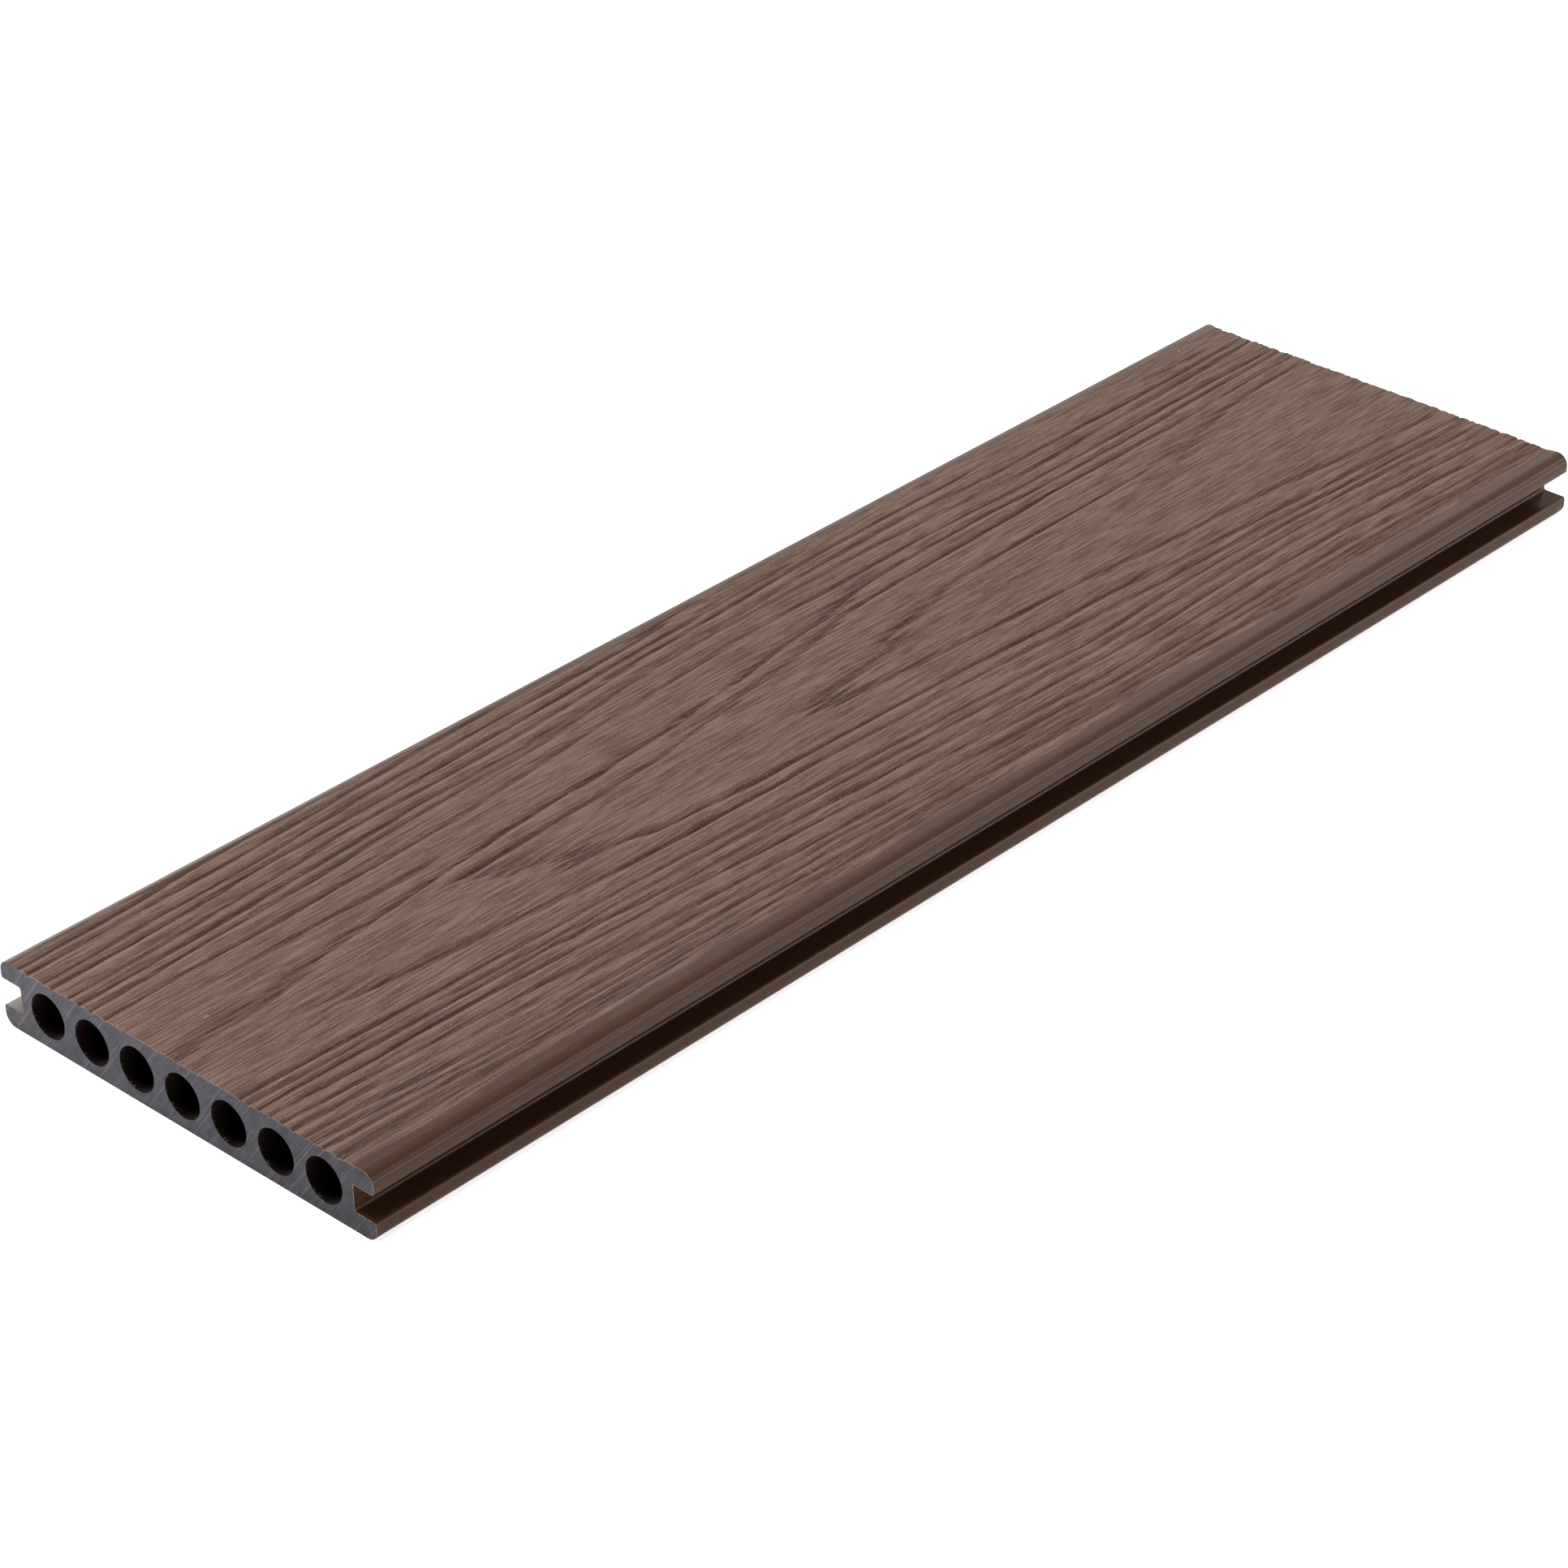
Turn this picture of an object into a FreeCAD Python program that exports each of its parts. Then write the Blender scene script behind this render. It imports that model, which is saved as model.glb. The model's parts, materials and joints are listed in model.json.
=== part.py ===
"""Composite decking board, extruded with a row of round chambers and a clip groove in each long edge.

The board lies flat with its walking face up. X runs along its length, Y across its width and Z up.
The origin is at the middle of its underside.
"""
import FreeCAD, Part
import math
import os
import Sketcher

PART_NAME = "decking_board"

# Driving dimensions in millimetres, as cells of the sheet: alias, value and what it is.
SIZES = (
    ("length", 485, "sawn length of the board"),
    ("width", 140, "across both lips"),
    ("thickness", 20, "underside to walking face"),
    ("groove_height", 8, "mouth of the clip groove, at half height"),
    ("groove_depth", 7.5, "lip end to the groove's inner wall"),
    ("outer_radius", 3.5, "round on the four long outer edges"),
    ("mouth_radius", 0.8, "round on the lip edges at the groove's mouth"),
    ("groove_fillet", 0.7, "fillet along the groove's inner corners"),
    ("chamber_diameter", 13, "round chambers along the board"),
    ("edge_wall", 4.1, "outermost chamber to the groove's inner wall"),
    ("least_web", 4, "thinnest wall allowed between two chambers"),
)

# Expressions that several features share.
LIP = "(sizes.thickness - sizes.groove_height) / 2"
CHAMBER_ROOM = "(sizes.width - 2 * sizes.groove_depth - 2 * sizes.edge_wall)"
CHAMBER_COUNT = (
    f"floor(({CHAMBER_ROOM} + sizes.least_web) / (sizes.chamber_diameter + sizes.least_web))"
)
CHAMBER_SPAN = f"({CHAMBER_ROOM} - sizes.chamber_diameter)"

# A point counts as being on an edge, and a volume as the one expected, within these.
PLACE_TOLERANCE = 1e-4
VOLUME_TOLERANCE = 1e-6


def make_sheet(doc):
    """The sheet of driving dimensions: name, value and meaning in each row."""
    sheet = doc.addObject("Spreadsheet::Sheet", "sizes")
    for row, (alias, value, meaning) in enumerate(SIZES, start=1):
        sheet.set(f"A{row}", alias)
        sheet.set(f"B{row}", str(value))
        sheet.set(f"C{row}", meaning)
        sheet.setAlias(f"B{row}", alias)
    doc.recompute()
    return sheet


def section_sketch(body, name):
    """An empty sketch on the body's own cross-section plane: x across the board and y up."""
    sketch = body.newObject("Sketcher::SketchObject", name)
    plane = next(f for f in body.Origin.OriginFeatures if f.Role == "YZ_Plane")
    sketch.AttachmentSupport = [(plane, "")]
    sketch.MapMode = "FlatFace"
    return sketch


def bind(sketch, kind, *references, name, expression):
    """Adds a named dimension to the sketch and ties it to the sheet."""
    start_value = 10.0
    index = sketch.addConstraint(Sketcher.Constraint(kind, *references, start_value))
    sketch.renameConstraint(index, name)
    sketch.setExpression(f"Constraints.{name}", expression)


def draw_outline(sketch, sheet):
    """The board's outline with square corners: a rectangle with a groove cut into each side."""
    half, top = sheet.width / 2, sheet.thickness
    inner = half - sheet.groove_depth
    low = (sheet.thickness - sheet.groove_height) / 2
    high = low + sheet.groove_height
    right = [(half, 0), (half, low), (inner, low), (inner, high), (half, high), (half, top)]
    left = [(-y, z) for y, z in reversed(right)]
    corners = [FreeCAD.Vector(y, z, 0) for y, z in right + left]
    count = len(corners)
    for index, corner in enumerate(corners):
        sketch.addGeometry(Part.LineSegment(corner, corners[(index + 1) % count]))
    for index in range(count):
        sketch.addConstraint(Sketcher.Constraint("Coincident", index, 2, (index + 1) % count, 1))

    # Line 0 is the right lower lip's end, 1 its top, 2 the groove's wall, 3 the upper lip's underside,
    # 4 the upper lip's end and 5 the walking face. Lines 6 to 10 mirror 4 to 0 on the left, and 11 is
    # the underside. Lines up to the left upper lip's end are set square: the mirror squares the others.
    x_axis, y_axis = -1, -2
    sketch.addConstraint(Sketcher.Constraint("PointOnObject", 0, 1, x_axis))
    for line in range(7):
        sketch.addConstraint(Sketcher.Constraint("Horizontal" if line % 2 else "Vertical", line))
    for line in range(5):
        sketch.addConstraint(Sketcher.Constraint("Symmetric", line, 1, 10 - line, 2, y_axis))
    bind(sketch, "DistanceX", 11, 1, 11, 2, name="width", expression="sizes.width")
    bind(sketch, "DistanceY", 0, 1, 4, 2, name="thickness", expression="sizes.thickness")
    bind(sketch, "DistanceY", 0, 1, 0, 2, name="lower_lip", expression=LIP)
    bind(sketch, "DistanceY", 2, 1, 2, 2, name="groove_height", expression="sizes.groove_height")
    bind(sketch, "DistanceX", 1, 2, 1, 1, name="groove_depth", expression="sizes.groove_depth")


def draw_first_chamber(sketch):
    """One chamber's circle, the outermost on the negative side, at half height."""
    sketch.addGeometry(Part.Circle(FreeCAD.Vector(-1, 1, 0), FreeCAD.Vector(0, 0, 1), 1))
    origin = (-1, 1)
    bind(sketch, "Diameter", 0, name="diameter", expression="sizes.chamber_diameter")
    bind(sketch, "DistanceX", 0, 3, *origin, name="offset", expression=f"{CHAMBER_SPAN} / 2")
    bind(sketch, "DistanceY", *origin, 0, 3, name="half_height", expression="sizes.thickness / 2")


def long_edges(shape, places):
    """Names of the edges that run along the board through the given (y, z) places."""
    names = []
    for index, edge in enumerate(shape.Edges, start=1):
        start, end = edge.Vertexes[0].Point, edge.Vertexes[-1].Point
        if abs(start.y - end.y) > PLACE_TOLERANCE or abs(start.z - end.z) > PLACE_TOLERANCE:
            continue
        if any(math.dist((start.y, start.z), place) < PLACE_TOLERANCE for place in places):
            names.append(f"Edge{index}")
    return names


def round_edges(doc, body, base, name, places, radius):
    """A fillet on the long edges at those places, with its radius tied to the sheet."""
    fillet = body.newObject("PartDesign::Fillet", name)
    fillet.Base = (base, long_edges(base.Shape, places))
    fillet.setExpression("Radius", radius)
    doc.recompute()
    return fillet


def make_board(doc, sheet):
    """The board: its outline padded both ways, its long edges rounded, then the chambers cut through."""
    body = doc.addObject("PartDesign::Body", PART_NAME)
    body.Label = PART_NAME

    outline = section_sketch(body, "section_outline")
    draw_outline(outline, sheet)
    stock = body.newObject("PartDesign::Pad", "extruded_stock")
    stock.Profile = outline
    stock.SideType = "Symmetric"
    stock.setExpression("Length", "sizes.length")
    doc.recompute()

    half = sheet.width / 2
    inner = half - sheet.groove_depth
    lip = (sheet.thickness - sheet.groove_height) / 2
    groove_levels = (lip, sheet.thickness - lip)
    outer_levels = (0, sheet.thickness)
    sides = (-1, 1)
    # A lip's two rounds share its end, so neither takes more than its own part of it.
    outer_share, mouth_share, wall_share = 0.7, 0.25, 0.45
    rounds = (
        (
            "outer_rounds",
            [(side * half, level) for side in sides for level in outer_levels],
            f"min(sizes.outer_radius; {outer_share} * {LIP})",
        ),
        (
            "mouth_rounds",
            [(side * half, level) for side in sides for level in groove_levels],
            f"min(sizes.mouth_radius; {mouth_share} * {LIP})",
        ),
        (
            "groove_fillets",
            [(side * inner, level) for side in sides for level in groove_levels],
            f"min(sizes.groove_fillet; {wall_share} * sizes.groove_height)",
        ),
    )
    feature = stock
    for name, places, radius in rounds:
        feature = round_edges(doc, body, feature, name, places, radius)

    solid_volume = body.Shape.Volume
    circle = section_sketch(body, "first_chamber_circle")
    draw_first_chamber(circle)
    chamber = body.newObject("PartDesign::Pocket", "first_chamber")
    chamber.Profile = circle
    chamber.Type = "ThroughAll"
    chamber.SideType = "Symmetric"
    doc.recompute()

    row = body.newObject("PartDesign::LinearPattern", "chamber_row")
    row.Originals = [chamber]
    row.Direction = (circle, ["H_Axis"])
    row.Mode = "Extent"
    row.setExpression("Length", CHAMBER_SPAN)
    row.setExpression("Occurrences", CHAMBER_COUNT)
    body.Tip = row
    doc.recompute()

    one_chamber = math.pi / 4 * sheet.chamber_diameter**2 * sheet.length
    removed = solid_volume - body.Shape.Volume
    expected = row.Occurrences * one_chamber
    if abs(removed - expected) > VOLUME_TOLERANCE * expected:
        raise RuntimeError(f"the chambers take out {removed:.1f} mm3 and not {expected:.1f}")
    return body


def check(doc, parts):
    """Stops before anything is written if an object failed or a part's solid is missing or not valid."""
    failed = [o.Name for o in doc.Objects if {"Invalid", "Error"} & set(o.State)]
    if failed:
        raise RuntimeError(f"failed objects: {failed}")
    for part in parts:
        if part.Shape.isNull() or not part.Shape.isValid() or len(part.Shape.Solids) != 1:
            raise RuntimeError(f"{part.Label} is not one valid solid")


def main():
    doc = FreeCAD.newDocument("decking_board_document")
    sheet = make_sheet(doc)
    parts = [make_board(doc, sheet)]
    check(doc, parts)
    os.makedirs("parts", exist_ok=True)
    for part in parts:
        part.Shape.exportStep(f"parts/{part.Label}.step")
        box = part.Shape.BoundBox
        print(
            f"{part.Label}: {box.XLength:.2f} x {box.YLength:.2f} x {box.ZLength:.2f} mm, "
            f"{part.Shape.Volume / 1000:.1f} cm3"
        )


main()
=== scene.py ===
"""The looks of a hollow composite decking board: its pressed timber grain, satin edges and sawn ends.

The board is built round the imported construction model, in metres and in the same frame: X runs along the
board from the near end to the far one, Y across it and Z up. A plain studio is then set round it.
"""

import json
import math

import bpy
import numpy as np
from bpy.props import FloatProperty, FloatVectorProperty, IntProperty, PointerProperty
from bpy.types import Operator, Panel, PropertyGroup
from mathutils import Matrix, Vector
from mathutils.geometry import tessellate_polygon


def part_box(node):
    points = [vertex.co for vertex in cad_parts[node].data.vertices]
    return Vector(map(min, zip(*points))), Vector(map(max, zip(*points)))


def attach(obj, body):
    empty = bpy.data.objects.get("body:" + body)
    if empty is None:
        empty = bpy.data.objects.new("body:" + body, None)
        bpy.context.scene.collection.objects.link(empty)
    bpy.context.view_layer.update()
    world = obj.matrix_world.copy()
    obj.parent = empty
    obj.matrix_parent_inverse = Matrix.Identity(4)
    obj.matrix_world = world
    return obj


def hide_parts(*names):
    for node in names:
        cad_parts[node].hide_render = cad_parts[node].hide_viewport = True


bl_info = {
    "name": "Decking board",
    "version": (1, 0, 0),
    "blender": (4, 5, 0),
    "location": "3D View > Sidebar > Decking",
    "description": "Builds a hollow composite decking board with pressed grain, and a studio to show it in",
    "category": "Add Mesh",
}

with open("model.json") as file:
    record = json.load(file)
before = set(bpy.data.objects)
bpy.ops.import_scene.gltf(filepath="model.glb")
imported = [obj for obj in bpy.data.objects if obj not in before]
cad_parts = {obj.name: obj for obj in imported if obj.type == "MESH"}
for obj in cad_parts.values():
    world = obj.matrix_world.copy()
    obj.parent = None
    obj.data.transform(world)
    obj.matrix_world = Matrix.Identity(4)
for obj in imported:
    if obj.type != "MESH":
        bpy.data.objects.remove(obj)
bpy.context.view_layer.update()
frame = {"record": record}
CAD_NODE = "decking_board"

MM = 0.001
BOARD_LOW, BOARD_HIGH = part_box(CAD_NODE)
MOUNTS = {mount["name"]: mount for mount in frame["record"]["mounts"]}
CHAMBERS = [mount for mount in MOUNTS.values() if mount["kind"] == "bore"]
GROOVE_WALL = abs(MOUNTS["clip_groove_right"]["pos_m"][1])

# Growth rings pressed into the walking face: how strong each is, then its points in millimetres from the
# near end and across from the middle line.
RINGS = (
    (1.0, ((0, 62), (40, 63.5), (60, 65), (100, 66.5))),
    (1.0, ((0, 58.5), (80, 60.5), (120, 63), (180, 65.5), (210, 66.5))),
    (1.0, ((0, 52), (40, 54), (80, 55.5), (110, 58), (190, 60.5), (220, 61.5), (250, 65))),
    (1.0, ((0, 48.5), (50, 50.3), (70, 52), (150, 54), (200, 56), (240, 58.5), (280, 60))),
    (0.9, ((0, 42), (40, 43.5), (80, 46), (100, 48.5), (150, 49), (200, 51.5), (220, 54), (240, 55),
           (300, 58), (360, 58))),
    (0.9, ((0, 38), (40, 39.3), (100, 42.5), (120, 44), (150, 43.5), (185, 46), (220, 49),
           (280, 52.5), (330, 54), (360, 52), (450, 52), (485, 53))),
    (0.9, ((0, 33.5), (50, 36), (100, 38.5), (140, 41), (155, 41), (190, 44.5), (215, 47.5),
           (240, 48.5), (310, 48.5), (340, 47), (365, 45), (400, 46.8), (440, 48), (485, 50))),
    (0.9, ((0, 28), (30, 29), (60, 29), (120, 31), (160, 34.5), (200, 38), (220, 38.5), (240, 41),
           (280, 41), (320, 42), (365, 40.3), (430, 41), (485, 41.5))),
    (1.0, ((25, 2), (40, 6.5), (60, 9.3), (100, 14.7), (150, 18), (200, 21.5), (220, 24.5),
           (240, 28), (260, 30), (280, 34), (300, 36), (340, 37), (365, 36), (420, 36.5), (450, 38),
           (485, 38.5))),
    (1.0, ((100, 8.5), (150, 10.5), (180, 12), (200, 15.5), (220, 19), (250, 22.5), (280, 28.5),
           (300, 29.5), (350, 30.5), (365, 31.5), (430, 31.5), (460, 33), (485, 33.5))),
    (0.95, ((222, -3), (250, 2.5), (270, 8.5), (280, 11.5), (300, 16.5), (330, 18), (390, 19),
            (425, 22), (435, 26), (450, 27.5), (485, 28.5))),
    (0.9, ((222, -3), (240, -3.5), (260, -6.5), (300, -9), (340, -11), (350, -13), (400, -15.5),
           (420, -17.5), (430, -19.5), (450, -21), (485, -24))),
    (0.95, ((100, 8.5), (120, -2), (130, -7), (150, -12.5), (180, -15.5), (220, -16.5),
            (300, -19.8), (340, -21.5), (350, -23.5), (390, -25), (420, -27), (485, -30.5))),
    (0.95, ((45, -10.5), (60, -12.5), (100, -16), (120, -18), (160, -20.5), (200, -21), (280, -24),
            (340, -27.5), (400, -30), (450, -32), (485, -34))),
    (0.8, ((0, -22.5), (60, -24.5), (160, -27.5), (240, -31), (300, -34.5), (365, -32.5),
           (400, -33), (430, -34.5), (485, -38))),
    (0.8, ((0, -29.5), (30, -29.8), (100, -32), (150, -35.5), (210, -38.5), (250, -41),
           (320, -43.5), (355, -42), (400, -41.3), (430, -43), (485, -46))),
    (0.9, ((0, -33.8), (70, -35.3), (110, -38), (140, -38.5), (210, -44), (240, -45.5),
           (260, -47.5), (300, -49.5), (365, -47), (400, -47), (450, -50), (485, -52.5))),
    (0.7, ((0, -38), (60, -41), (140, -46), (190, -48.5), (250, -51.5), (300, -54), (400, -53.5),
           (485, -57))),
    (0.7, ((0, -46), (60, -51.5), (80, -52.5), (150, -53.5), (230, -56), (300, -59.5), (340, -61),
           (365, -63))),
    (0.6, ((0, -53), (40, -55.5), (90, -58), (150, -59.8), (220, -63), (240, -64))),
    (0.55, ((0, -26), (60, -28), (160, -31.5), (240, -35), (300, -38.5), (365, -37), (430, -38.5),
            (485, -42))),
    (0.55, ((0, -42), (60, -45.5), (140, -50), (220, -52.5), (300, -56.8), (400, -57), (485, -60))),
    (0.55, ((0, -49.5), (60, -54), (150, -56.8), (230, -59.5), (300, -62))),
)

# Broad dark patches of streaks, as at the tips of the arched rings: start, end, middle across at each and
# half width, in the same millimetres.
SMEARS = (
    (-10, 55, 2, 8, 4.0),
    (30, 75, 8, 11.5, 2.5),
    (22, 52, -3.5, -8, 2.2),
    (45, 105, -11.5, -15.5, 2.4),
    (100, 128, 5, 3, 4.5),
    (118, 165, -6, -13, 2.8),
    (220, 280, -1, 8, 3.5),
    (262, 305, 8, 15, 2.2),
    (225, 262, -3, -6, 2.0),
    (20, 105, 21, 20.5, 1.6),
    (395, 430, 19, 21, 2.2),
    (435, 470, 57, 57.5, 2.0),
    (-15, 150, -58.5, -59.5, 3.2),
    (165, 330, -59.5, -58.5, 3.6),
    (345, 500, -58.5, -59.5, 3.2),
)

# Cells of the noise in the finishes along the board, across it and up, in millimetres.
HAIR = (9, 0.42, 20)
THREAD = (18, 0.75, 20)
PATCH = (30, 3.6, 20)
GRIT = (0.9, 0.5, 5)
FIBRE = (26, 0.6, 30)
BROAD = (55, 6, 20)
REDDISH = (75, 3.6, 40)
FLECK = (2.1, 0.9, 20)
CURL = (3.1, 2.3, 5)
BEND = (2.4, 1.5, 5)
DIE_LINE = (300, 0.8, 0.8)
MOTTLE = (6, 2, 2)
WAVE = (28, 5, 5)
CHAMBER_LINE = (200, 0.7, 0.7)
CHAMBER_MOTTLE = (4, 3, 3)
CLOUD = (4, 4, 4)
CORE_GRIT = (0.5, 0.5, 0.5)
SPECK = (2.2, 2.2, 2.2)
TORN_CAP = (0.9, 0.9, 0.9)
BURR_SHADE = (0.4, 0.4, 0.4)

# The saw marks' slant on the cut, and the cells of their noise over a mark, along it and into the board.
SAW_SLANT = math.radians(53)
STRONG_MARK = (1, 60, 1)
FAINT_MARK = (0.5, 40, 1)

# How far the fibres of the finish drag a ring along the board, for noise from 0 to 1, in metres.
FIBRE_DRAG = 0.07

# The soft lights: name, place, aim and size in metres. Their powers are settings of the studio.
MIDDLE = (0, 0, 0)
NEAR_END = (-0.24, 0.03, 0.01)
LIGHTS = (
    ("over", (0.0, 0.1, 2.4), MIDDLE, (1.4, 1.4)),
    ("high", (-0.2, 1.1, 2.0), MIDDLE, (1.8, 1.0)),
    ("left", (-0.1, 1.5, 0.5), MIDDLE, (2.0, 0.5)),
    ("far", (1.0, 1.27, 0.5), MIDDLE, (1.8, 0.5)),
    ("back", (1.3, 0.1, 1.3), MIDDLE, (1.4, 1.2)),
    ("corner", (1.35, 1.3, 1.15), MIDDLE, (1.2, 0.9)),
    ("right", (0.98, -0.96, 0.66), MIDDLE, (0.9, 0.45)),
    ("low", (0.6, -1.25, 0.09), MIDDLE, (2.0, 0.16)),
    ("end", (-0.5, 0.32, 0.06), NEAR_END, (0.3, 0.08)),
)

# Distances from the middle in metres: where the floor's glow is gone and where it is full, and where its
# white in the picture begins to rise and where it is full.
GLOW_REACH = (1.5, 0.9)
WHITE_REACH = (0.35, 0.8)

# The surface values of the grain that the cap's finish reads.
GRAIN_VALUES = ("ring", "strength", "skew", "crest", "smear", "pressed")

# Shifts along the board over which a ring's path is averaged, in millimetres.
PATH_SHIFTS = np.linspace(-9, 9, 13)

# Steps of the lattices of noise in the grain, along the board and across it, in millimetres.
FIBRE_CELL = (34, 0.8)
JAG_CELL = (16, 1.3)
SWELL_CELL = (28, 1)
LONG_STREAK_CELL = (22, 0.9)
SHORT_STREAK_CELL = (9, 0.75)
FINE_FIBRE_CELL = (18, 1.1)
BAND_CELL = (30, 1)
CHIP_CELLS = ((1, 1.1), (1, 2.9))

# Where a ring or a smear begins or stops on the board, it fades out over this run, in millimetres.
RING_RUN_OUT = 10.0
SMEAR_RUN_OUT = 12

# A ring's strength along the board, its widening where it slants, its jags, the place of the painted
# highlight on its lit crest and the most that the finish sees of its strength.
LEAST_SWELL = 0.5
MORE_SWELL = 0.9
SLANT_SPREAD = 2.0
RING_JAG = 0.5
CREST_HIGHLIGHT_PLACE = 1.4
MOST_STRENGTH = 1.2

# How firm a smear's side edges are, and how far the streaks in it stand out.
SMEAR_FIRMNESS = 1.3
STREAK_CONTRAST = 2.2

# The closeness to a ring at which its slit begins, and how much closer it is fully deep.
SLIT_START = 0.66
SLIT_RUN = 0.2

# The inner edge of the smooth bands: how far it wanders, its jags and its fade, in millimetres.
BAND_WANDER = 1.6
BAND_JAG = 1.2
LEFT_FADE = 2.0
RIGHT_FADE = 4.0

# The share of the chip depth at each sawn end, as its row of the grid and that share, and how much of it
# follows the finer of the two noises.
CHIP_SHARES = ((0, 0.3), (-1, 1.0))
FINE_CHIPS = 0.6

# How strongly the cap's torn line shows along the left side of the cut, beside 1 on the right and above.
LEFT_RIM = 0.5

# Angles of the points round a chamber, and the run behind a ragged rim in metres.
BORE_ANGLES = np.linspace(0, 2 * np.pi, 44, endpoint=False)
RIM_RUN = 3 * MM

# The burrs on each rim: how many, their angles from the left in degrees, the least random number behind
# their lengths, and how far their middles lie inside the cut, in sizes of the largest burr.
BURRS_PER_RIM = 9
BURR_ANGLES = (-75, 60)
LEAST_BURR = 0.35
BURR_INSET = 1.2

# Places of the finishes in the board's list of materials.
CAP, CORE, CHAMBER, BURR = range(4)


def smooth_step(value):
    """0 below 0 and 1 above 1, with the cubic 3t^2 - 2t^3 between."""
    t = np.clip(value, 0, 1)
    return t * t * (3 - 2 * t)


def lattice_noise(rng, x, y, cell):
    """Smooth noise from 0 to 1: random values on a lattice of such cells, blended by smooth steps."""
    u, v = np.broadcast_arrays(x / cell[0], y / cell[1])
    column, row = np.floor(u).astype(int), np.floor(v).astype(int)
    along, across = smooth_step(u - column), smooth_step(v - row)
    column -= column.min()
    row -= row.min()
    table = rng.random((column.max() + 2, row.max() + 2))
    near = table[column, row] * (1 - across) + table[column, row + 1] * across
    far = table[column + 1, row] * (1 - across) + table[column + 1, row + 1] * across
    return near * (1 - along) + far * along


def ring_path(x, points):
    """The ring's place across at each x: its points joined by straight runs, then averaged along x."""
    xs, ys = np.array(points, float).T
    return np.mean([np.interp(x + shift, xs, ys) for shift in PATH_SHIFTS], axis=0)


def ring_ends(x, points, length):
    """1 along the ring, falling to 0 over the run-out where it begins or stops on the board itself."""
    first, last = points[0][0], points[-1][0]
    starts = 1.0 if first <= 0 else smooth_step((x - first + RING_RUN_OUT / 2) / RING_RUN_OUT)
    stops = 1.0 if last >= length else smooth_step((last - x + RING_RUN_OUT / 2) / RING_RUN_OUT)
    return starts * stops


def pressed_grain(x, y, length, relief):
    """Surface values and depth of the pressed grain, on a grid of x from the near end and y across, in mm.

    The closeness to a ring is 1 on it, falls slowly to 0 at its gentle width on the left and quickly at
    its steep width on the right, beyond which lies the ring's lit crest: the crest value is no relief but a
    painted highlight that the cap's finish adds there. Slanting parts of a ring are wider. Each fibre, a
    thin strip along the board, takes the closeness from a place shifted along the board, so that a
    slanting ring is torn into straight fibres. The skew is how fast the closeness changes with such a
    shift. The depth is a shallow valley that follows the closeness, a narrow slit along the ring, the
    smears and fine fibres, and it fades out at the smooth edge bands.
    """
    rng = np.random.default_rng(relief.seed)
    gentle, steep = relief.ring_gentle / MM, relief.ring_steep / MM
    fibre_shift = relief.fibre_shift / MM
    shifted = x + fibre_shift * (2 * lattice_noise(rng, x, y, FIBRE_CELL) - 1)
    jag = lattice_noise(rng, x, y, JAG_CELL) - 0.5
    along = np.arange(-2 * fibre_shift, length + 2 * fibre_shift)
    closeness = np.zeros(shifted.shape)
    strength, skew, crest = np.zeros_like(closeness), np.zeros_like(closeness), np.zeros_like(closeness)
    for power, points in RINGS:
        line = ring_path(along, points)
        path = np.interp(shifted, along, line)
        slope = np.interp(shifted, along, np.gradient(line, along))
        swell = LEAST_SWELL + MORE_SWELL * lattice_noise(rng, x, np.zeros((1, 1)), SWELL_CELL)
        spread = 1 + SLANT_SPREAD * np.abs(slope)
        away = (y - path + RING_JAG * jag) / spread
        width = np.where(away > 0, gentle, -steep)
        ends = ring_ends(shifted, points, length)
        ring = np.clip(1 - away / width, 0, 1) * ends
        nearer = ring > closeness
        strength = np.where(nearer, power * swell, strength)
        skew = np.where(nearer, slope / (width * spread), skew)
        closeness = np.where(nearer, ring, closeness)
        # The painted highlight of the lit crest just past each ring's steep side; it is not in the depth.
        past_ring = np.clip(1 - np.abs(away / steep + CREST_HIGHLIGHT_PLACE), 0, 1)
        crest = np.maximum(crest, power * swell * ends * past_ring)

    smear = np.zeros_like(closeness)
    for start, stop, first, last, half in SMEARS:
        share = np.clip((shifted - start) / (stop - start), 0, 1)
        middle = first + (last - first) * share
        starts, stops = (shifted - start) / SMEAR_RUN_OUT, (stop - shifted) / SMEAR_RUN_OUT
        across = smooth_step(SMEAR_FIRMNESS * (1 - np.abs(y - middle + jag) / half))
        smear = np.maximum(smear, smooth_step(starts) * smooth_step(stops) * across)
    streaks = lattice_noise(rng, x, y, LONG_STREAK_CELL) * lattice_noise(rng, x, y, SHORT_STREAK_CELL)

    valley = relief.valley_depth / MM * strength * closeness
    slit = relief.slit_depth / MM * strength * smooth_step((closeness - SLIT_START) / SLIT_RUN)
    smeared = relief.slit_depth / MM * smear * smooth_step(STREAK_CONTRAST * streaks)
    fibres = relief.fibre_depth / MM * lattice_noise(rng, x, y, FINE_FIBRE_CELL)

    wander = BAND_WANDER * (lattice_noise(rng, x, np.sign(y), BAND_CELL) - 0.5)
    edge = np.abs(y) + wander + BAND_JAG * jag
    band = BOARD_HIGH.y / MM - np.where(y > 0, relief.left_band, relief.right_band) / MM
    pressed = smooth_step((band - edge) / np.where(y > 0, LEFT_FADE, RIGHT_FADE) + 0.5)
    return {
        "ring": pressed * closeness,
        "strength": np.clip(strength, 0, MOST_STRENGTH),
        "skew": skew,
        "crest": pressed * np.clip(crest, 0, 1),
        "smear": pressed * smear,
        "pressed": pressed,
        "depth": pressed ** 2 * (np.maximum(valley + slit, smeared) + fibres),
    }


def arc(centre, radius, start, stop, steps):
    """Points on an arc about a centre in the section, from one angle to another in degrees."""
    angle = np.radians(np.linspace(start, stop, steps + 1))
    return np.stack([centre[0] + radius * np.cos(angle), centre[1] + radius * np.sin(angle)], axis=1)


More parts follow.
